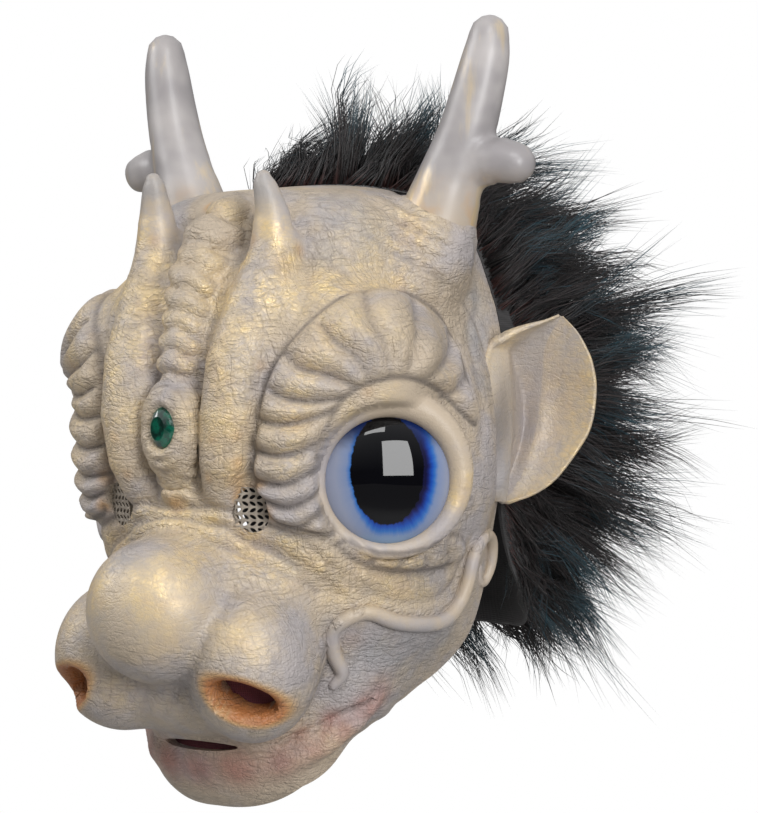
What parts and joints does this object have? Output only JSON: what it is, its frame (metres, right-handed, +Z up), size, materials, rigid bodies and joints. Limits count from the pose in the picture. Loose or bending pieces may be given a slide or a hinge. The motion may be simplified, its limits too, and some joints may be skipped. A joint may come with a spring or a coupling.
{
  "type": "dragon mask",
  "caption": "Overhead latex dragon mask with antlers, brow horns, cupped ears, resin eyes, a green forehead stone, mesh sight panels and a fur mane.",
  "frame": {"origin": "the seat on the inside of the crown, where the top of the wearer's head carries the mask", "axes": "+X towards the wearer's left, the face looks along -Y, +Z up"},
  "size_m": [0.3142, 0.4768, 0.465],
  "materials": {
    "skin": "mauve-grey latex with pearl-gold dry-brushed ridges",
    "antler": "smooth pale grey latex with soft gold streaks",
    "ear": "pale grey-lilac latex",
    "eye": "clear glossy resin over a blue iris and a black pupil",
    "stone": "faceted emerald-green glass",
    "sight_mesh": "perforated grey-tan mesh",
    "maroon_cloth": "plain maroon cloth",
    "hood_fabric": "black knitted fur backing",
    "fur": "long black-brown faux fur with teal tips"
  },
  "bodies": {
    "root": {"face_shell": "skin", "left_antler": "antler", "right_antler": "antler", "left_ear": "ear", "right_ear": "ear", "left_eye": "eye", "right_eye": "eye", "forehead_gem": "stone", "left_vision_mesh": "sight_mesh", "right_vision_mesh": "sight_mesh", "left_nostril_cloth": "maroon_cloth", "right_nostril_cloth": "maroon_cloth", "mouth_cloth": "maroon_cloth", "hood": "hood_fabric", "mane": "fur"}
  },
  "joints": []
}
